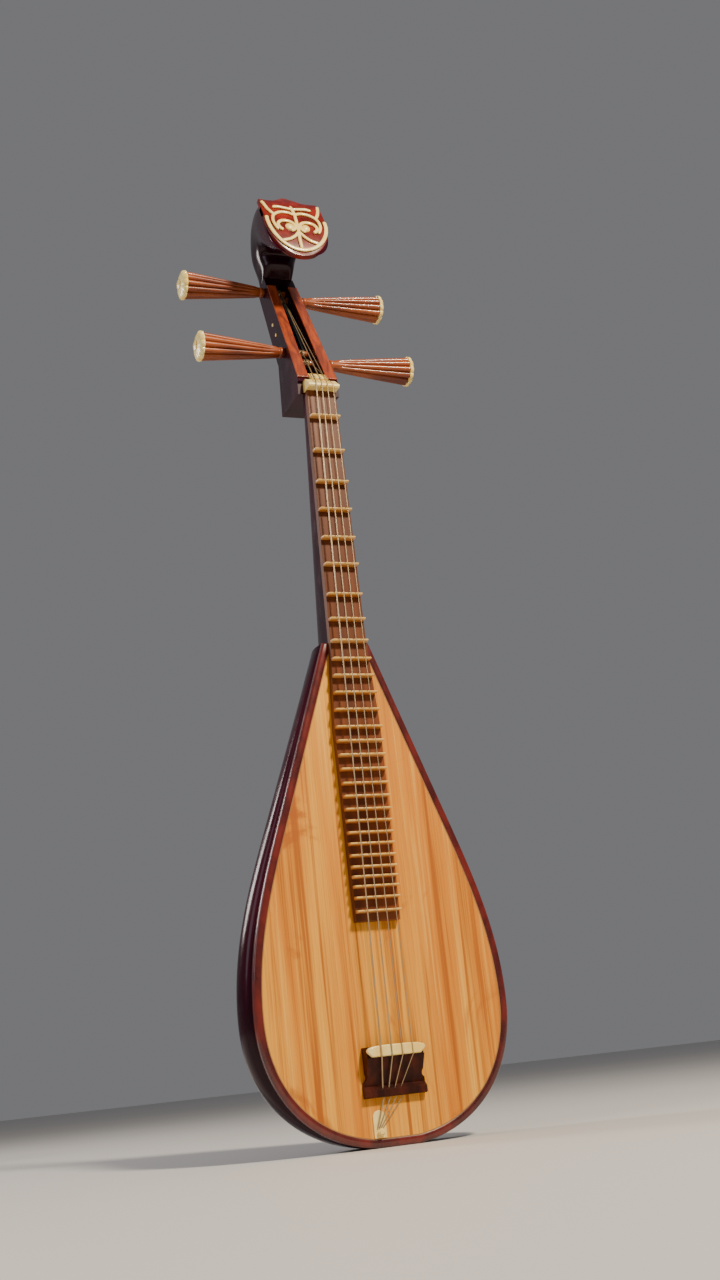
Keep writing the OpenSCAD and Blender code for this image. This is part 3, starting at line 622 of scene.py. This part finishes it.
def through(points, t):
    """A smooth path through points of any size: t is 1 at the second point, and so on."""
    last = len(points) - 1
    i = min(int(t), last - 1)
    u = t - i
    a, b, c, d = (points[max(i - 1, 0)], points[i], points[i + 1], points[min(i + 2, last)])
    return tuple((2 * q + (r - p) * u + (2 * p - 5 * q + 4 * r - s) * u * u
                  + (3 * q - 3 * r + s - p) * u ** 3) / 2 for p, q, r, s in zip(a, b, c, d))


face_centre, face_lean = (-12.5, 1026), math.radians(15.5)


def on_face(x, up, out):
    """A point of the face: up runs up the face and out stands in front of its flat."""
    return (x, face_centre[0] + up * math.sin(face_lean) - out * math.cos(face_lean),
            face_centre[1] + up * math.cos(face_lean) + out * math.sin(face_lean))


def face_bow(up):
    """How far the carved face stands before its flat: full below, falling back at the top."""
    return 3.5 * max(0, 1 - ((up + 8) / 34) ** 2) - 0.0065 * max(0, up - 18) ** 2


head_rings = []
for j in range(61):
    y, z, half, thick, lean = through(head_path, 6 * j / 60)
    shrink = 1 - 0.02 * max(0, (j - 57) / 3) ** 2
    lean, ring = math.radians(lean), []
    for k in range(96):
        a = math.tau * k / 96
        x = math.copysign(abs(math.cos(a)) ** (2 / head_power), math.cos(a)) * half * shrink
        q = math.copysign(abs(math.sin(a)) ** (2 / head_power), math.sin(a)) * thick * shrink
        dy = y + q * math.cos(lean) - face_centre[0]
        dz = z + q * math.sin(lean) - face_centre[1]
        up = dy * math.sin(face_lean) + dz * math.cos(face_lean)
        out = dz * math.sin(face_lean) - dy * math.cos(face_lean)
        near = max(0, 1 + out / 30) ** 2 if j > 36 else 0
        ring.append(on_face(x, up, out + face_bow(up) * min(near, 1)))
    head_rings.append(ring)
head = loft("hooked_head", [head_rings], lacquer)
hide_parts("head")


# --- Head panel and ornament -------------------------------------------------------------------
# A red lacquered panel is let into the face of the head. Bone scrollwork is glued on it: a
# wide curved rim, a middle stem, two rings with round beads and leaf lines above and below.
red_lacquer = Finish("red_lacquer", Roughness=0.28, Specular_IOR_Level=0.25, Coat_Weight=0.25,
                     Coat_Roughness=0.1)
red_shade = red_lacquer.noise((60, 60, 60), detail=4.0)
red_lacquer.feed("Base Color", red_lacquer.mix(
    red_shade.between(0.35, 0.7), (0.10, 0.004, 0.003), (0.25, 0.012, 0.005)))
red_lacquer.feed("Roughness", 0.2 + 0.2 * red_shade)
red_lacquer.bump(red_shade, 0.25, 0.0006)
panel_t, face_half, face_low, face_high = 3, 38, 46.3, 67
shield = [(face_half * math.cos(math.radians(a)), face_low * math.sin(math.radians(a)))
          for a in range(180, 361, 6)]
corners = [(face_half, 14), (face_half, 30), (36, 50), (26, 49), (17, 50), (8, 58),
           (0, face_high)]
for (x0, u0), (x1, u1) in zip(corners, corners[1:]):
    shield += [(lerp(x0, x1, k / 4), lerp(u0, u1, k / 4)) for k in range(4)]
shield += [(-x, u) for x, u in reversed(shield[31:])] + [(-face_half, 30), (-face_half, 14)]
panel_rings = [[on_face(x * size, u * size, out + face_bow(u * size)) for x, u in shield]
               for size, out in [(0.98, -4), (1, -3.5), (1, 2.2), (0.992, 2.8), (0.975, panel_t)]
               + [(size, panel_t) for size in (0.9, 0.8, 0.7, 0.6, 0.5, 0.4, 0.3, 0.2, 0.1, 0.01)]]
panel = loft("red_head_panel", [panel_rings], red_lacquer)
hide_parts("head_panel")


def bone_line(points, width, height=2.4, steps=6):
    """Rings of a rounded bone strip along a smooth path on the face, thinned at its ends."""
    count = (len(points) - 1) * steps
    path = [through(points, k / steps) for k in range(count + 1)]
    rings = []
    for k, (x, up) in enumerate(path):
        ahead, behind = path[min(k + 1, count)], path[max(k - 1, 0)]
        run = math.hypot(ahead[0] - behind[0], ahead[1] - behind[1])
        nx, nu = -(ahead[1] - behind[1]) / run, (ahead[0] - behind[0]) / run
        end = min(1, (min(k, count - k) + 0.6) / 2.2)
        ring = []
        for s in range(10):
            a = math.tau * s / 10
            across = math.cos(a) * width / 2 * end
            out = panel_t + 0.1 + height * (0.42 + 0.58 * math.sin(a)) * (0.6 + 0.4 * end)
            ring.append(on_face(x + nx * across, up + nu * across,
                                max(out, panel_t + 0.1) + face_bow(up)))
        rings.append(ring)
    return rings


def arc(cx, cy, rx, ry, start, stop, count):
    angles = [math.radians(lerp(start, stop, k / count)) for k in range(count + 1)]
    return [(cx + rx * math.cos(a), cy + ry * math.sin(a)) for a in angles]


scroll = [(arc(0, 4, 36, 43, 172, 368, 26), 4.6),
          ([(0, -38), (-0.8, -24), (0, -10), (0, 6), (0.5, 20), (-0.5, 36)], 4.2)]
for s in (-1, 1):
    scroll += [
        (arc(s * 13.5, -4, s * 10.5, 8.6, -60, 245, 14), 4.2),
        ([(0, -12), (s * 5, -19), (s * 13, -25), (s * 23, -28)], 4.0),
        ([(0, 17), (s * 8, 21), (s * 18, 20), (s * 27, 12), (s * 29, 0), (s * 25, -12)], 3.8),
        ([(0, 29), (s * 9, 31), (s * 18, 32), (s * 24, 30)], 3.6),
        ([(s * 26, 14), (s * 31, 24), (s * 34, 36), (s * 35, 41)], 4.2)]
ornament = loft("bone_scrollwork", [bone_line(line, width) for line, width in scroll], bone)
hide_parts("head_ornament")

bead_side, bead_up, bead_r, bead_rise, domes = 10, -5, 5.4, 2.6, []
for s in (-1, 1):
    dome_rings = []
    for j in range(7):
        a = math.pi / 2 * j / 6
        dome_rings.append([
            on_face(s * bead_side + bead_r * math.cos(a) * math.cos(math.tau * k / 20),
                    bead_up + bead_r * math.cos(a) * math.sin(math.tau * k / 20),
                    panel_t + 0.1 + bead_rise * math.sin(a) + face_bow(bead_up))
            for k in range(20)])
    domes.append(dome_rings)
beads = loft("bone_beads", domes, bone)
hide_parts("head_eyes")


# --- Pegs -----------------------------------------------------------------------------------
# Four turned pegs of reddish hardwood, each held by friction in two bores. The long grip is
# fluted, and a scalloped bone cap with a small button is glued on its end.
peg_height, peg_side, peg_stand = [70, 192, 178, 52], [-1, -1, 1, 1], [1, 1, 8, 7]
grip_length, grip_r, grip_small, collar_l, cap_h, flutes = 96, 16.5, 6.5, 6, 9, 12
peg_wood = Finish("fluted_peg_wood", Roughness=0.28, Specular_IOR_Level=0.3, Coat_Weight=0.3,
                  Coat_Roughness=0.1)
peg_grain = peg_wood.noise((14, 320, 320), detail=4.0, roughness=0.6, warp=0.4)
peg_tone = peg_wood.noise((10, 60, 60), detail=3.0)
peg_colour = peg_wood.mix(peg_tone.between(0.35, 0.7), (0.36, 0.080, 0.015), (0.13, 0.019, 0.006))
peg_wood.feed("Base Color", peg_wood.mix(
    0.5 * peg_grain.between(0.5, 0.75), peg_colour, (0.045, 0.01, 0.006)))
peg_wood.feed("Roughness", 0.24 + 0.25 * peg_grain)
peg_wood.bump(peg_grain, 0.25, 0.0004)


def box_half(w): return lerp(48, 37, w / box_length) / 2
def slot_half(w): return lerp(21, 15, w / box_length) / 2


def turned(name, number, rings_at, finish, sides=96):
    """A turned piece on a peg's axis. rings_at is (distance out, radius, flute depth)."""
    centre, side = from_box(0, peg_depth, peg_height[number]), peg_side[number]
    rings = []
    for out, radius, flute in rings_at:
        ring = []
        for k in range(sides):
            a = math.tau * k / sides
            lobe = abs(math.sin(flutes * a / 2)) ** 0.55
            r = max(radius * (1 - flute * (1 - lobe)), 0.02)
            ring.append((side * out, centre[1] + r * math.cos(a), centre[2] + r * math.sin(a)))
        rings.append(ring if side > 0 else ring[::-1])
    return loft(name, [rings], finish, f"peg_{number + 1}", crease=40)


for number, w in enumerate(peg_height):
    near, root = slot_half(w) - 0.4, box_half(w) + peg_stand[number]
    far = box_half(w) - 3.5
    grip_start, grip_end = root + collar_l, root + grip_length
    shaft = [(-far, 3.7, 0), (-far + 0.5, 4, 0), (near - 0.4, 4, 0), (near, 5, 0), (root, 5, 0),
             (root + 0.2, 5.7, 0), (root + 1.6, 6.4, 0), (root + 3.4, 6.3, 0),
             (root + 4.4, 5.7, 0), (grip_start, 6.0, 0.0)]
    for k in range(1, 25):
        t = k / 24
        swell = lerp(grip_small, grip_r, t ** 0.92)
        shaft.append((lerp(grip_start, grip_end, t), swell, 0.2 * min(1, t * 5)))
    peg = turned(f"fluted_peg_{number + 1}", number, shaft, peg_wood)
    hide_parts(f"peg_{number + 1}")
    cap_at = grip_end + 0.1
    dome = [(cap_at, grip_r * 0.96, 0.1), (cap_at + 0.5, grip_r * 1.04, 0.1)]
    dome += [(cap_at + cap_h * out, grip_r * wide, flute) for out, wide, flute in [
        (0.25, 1.08, 0.1), (0.45, 1.02, 0.1), (0.6, 0.88, 0.09), (0.72, 0.66, 0.07),
        (0.79, 0.42, 0.04), (0.82, 0.33, 0.0), (0.86, 0.36, 0), (0.94, 0.34, 0),
        (1.02, 0.24, 0), (1.07, 0.1, 0)]]
    dome.append((cap_at + cap_h * 1.08, 0.05, 0))
    cap = turned(f"scalloped_cap_{number + 1}", number, dome, bone)
    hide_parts(f"peg_cap_{number + 1}")


# --- Windings and strings -----------------------------------------------------------------
# Steel strings wound with pale fibre run from the pegs over the nut, the frets and the
# bridge cap, through the foot of the bridge and on to the hitch pin.
def sweep(path, radius, sides=10):
    """Rings of a round cord along points, square to its direction."""
    rings = []
    for k, here in enumerate(path):
        ahead, behind = Vector(path[min(k + 1, len(path) - 1)]), Vector(path[max(k - 1, 0)])
        along = (ahead - behind).normalized()
        across = along.cross(Vector((0.9, 0.12, 0.05))).normalized()
        third = along.cross(across)
        rings.append([tuple(Vector(here) + (across * math.cos(math.tau * s / sides)
                      + third * math.sin(math.tau * s / sides)) * radius) for s in range(sides)])
    return rings


wire = Finish("wound_string", Roughness=0.34, Metallic=0.7)
wire_wrap = wire.node("ShaderNodeTexWave", {"bands_direction": "Z", "wave_profile": "SIN"}, {
    "Vector": wire.place, "Scale": 320.0}, "Fac")
wire_dust = wire.noise((200, 200, 30), detail=2.0)
wire.feed("Base Color", wire.mix(wire_dust, (0.32, 0.22, 0.12), (0.54, 0.40, 0.23)))
wire.feed("Roughness", 0.22 + 0.2 * wire_dust)
wire.bump(wire_wrap, 0.3, 0.0002)

string_r = [0.75, 0.65, 0.55, 0.45]
hitch_x, hitch_z = -19, 15
winding_spacing, bridge_spacing, foot_spacing, hitch_spacing = 1.2, 11.2, 8, 1.9
turn_count, turn_steps, winding_half, winding_offset = 6, 28, 3.2, 0.6
winding_r, thread_r, mark_gap = 4.65, 0.55, 12
for number, w in enumerate(peg_height):
    row, r = number - 1.5, string_r[number]
    turns = []
    centre, side = from_box(0, peg_depth, w), peg_side[number]
    for k in range(turn_count * turn_steps + 1):
        a = math.tau * k / turn_steps
        along = lerp(-winding_half + winding_offset, winding_half + winding_offset,
                     k / (turn_count * turn_steps))
        turns.append((side * along, centre[1] + winding_r * math.cos(a),
                      centre[2] + winding_r * math.sin(a)))
    coil = loft(f"string_winding_{number + 1}", [sweep(turns, thread_r)], wire,
                f"peg_{number + 1}")
    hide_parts(f"winding_{number + 1}")
    clear = r + 0.06
    foot_x = lerp(hitch_x, row * foot_spacing, 0.82)
    marks = [from_box(row * winding_spacing, peg_depth - 4 - 1.3 - r, w - 2),
             (row * nut_spacing, string_y - clear, nut_z + 3.4 + r / 2),
             (row * bridge_spacing, cap_front - clear, bridge_z),
             (row * bridge_spacing, cap_front - clear, cap_low),
             (foot_x, foot_y, foot_z + foot_lip + 1.5), (foot_x, foot_y, foot_z - 1.5),
             (hitch_x + row * hitch_spacing, front_y - 1.2 - clear, hitch_z + 2 + r + 1.2)]
    path = []
    for a, b in zip(marks, marks[1:]):
        count = max(2, int((Vector(b) - Vector(a)).length / mark_gap))
        path += [tuple(Vector(a).lerp(Vector(b), k / count)) for k in range(count)]
    path.append(marks[-1])
    string = loft(f"wound_string_{number + 1}", [sweep(path, r)], wire)
    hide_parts(f"string_{number + 1}")
